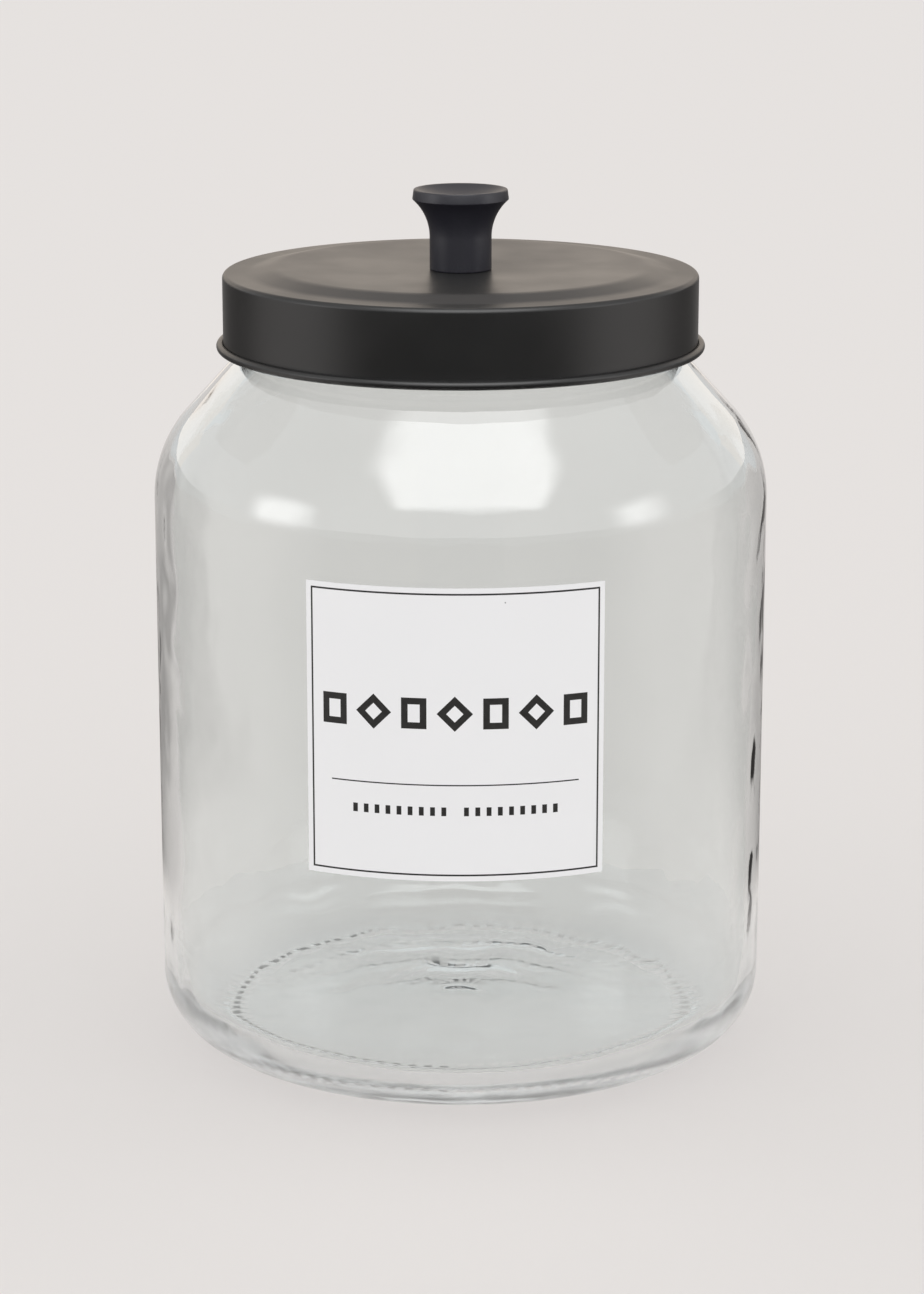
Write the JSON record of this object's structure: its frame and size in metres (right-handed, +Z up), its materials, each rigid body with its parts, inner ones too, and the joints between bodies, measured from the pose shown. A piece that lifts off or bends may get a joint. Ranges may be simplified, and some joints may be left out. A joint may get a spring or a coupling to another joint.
{
  "type": "glass storage jar with lift-off lid",
  "caption": "Wide clear glass jar for laundry powder or tablets, with a sloped shoulder, a black pressed metal lid with a seal ring and a dished knob, and a square front label.",
  "frame": {"origin": "on the jar's axis, at the height of the ring that it stands on", "axes": "+Z up along the axis of the jar and the lid, -Y towards the side with the label, +X to the right of the label"},
  "size_m": [0.18, 0.1801, 0.2545],
  "materials": {
    "clear_glass": "smooth fire-polished clear soda glass with a faint green-grey tint",
    "printed_vinyl": "white matt vinyl with a thin black border, a rule and rows of plain printed marks",
    "seal_rubber": "translucent white silicone",
    "lid_paint": "black satin powder coat",
    "knob_paint": "blue-black matt powder coat",
    "zinc_steel": "bright zinc plate"
  },
  "bodies": {
    "jar": {"glass_jar": "clear_glass", "label_sheet": "printed_vinyl"},
    "seal": {"lid_seal_ring": "seal_rubber"},
    "lid": {"lid_shell": "lid_paint", "knob": "knob_paint", "knob_washer": "zinc_steel", "knob_screw": "zinc_steel"}
  },
  "joints": [
    {"name": "lid_lift", "type": "slide", "parent": "jar", "child": "seal", "axis": [0, 0, 1], "range_m": [0, 0.07]},
    {"name": "lid_turn", "type": "hinge", "parent": "seal", "child": "lid", "pos_m": [0, 0, 0.22], "axis": [0, 0, 1], "continuous": true}
  ]
}
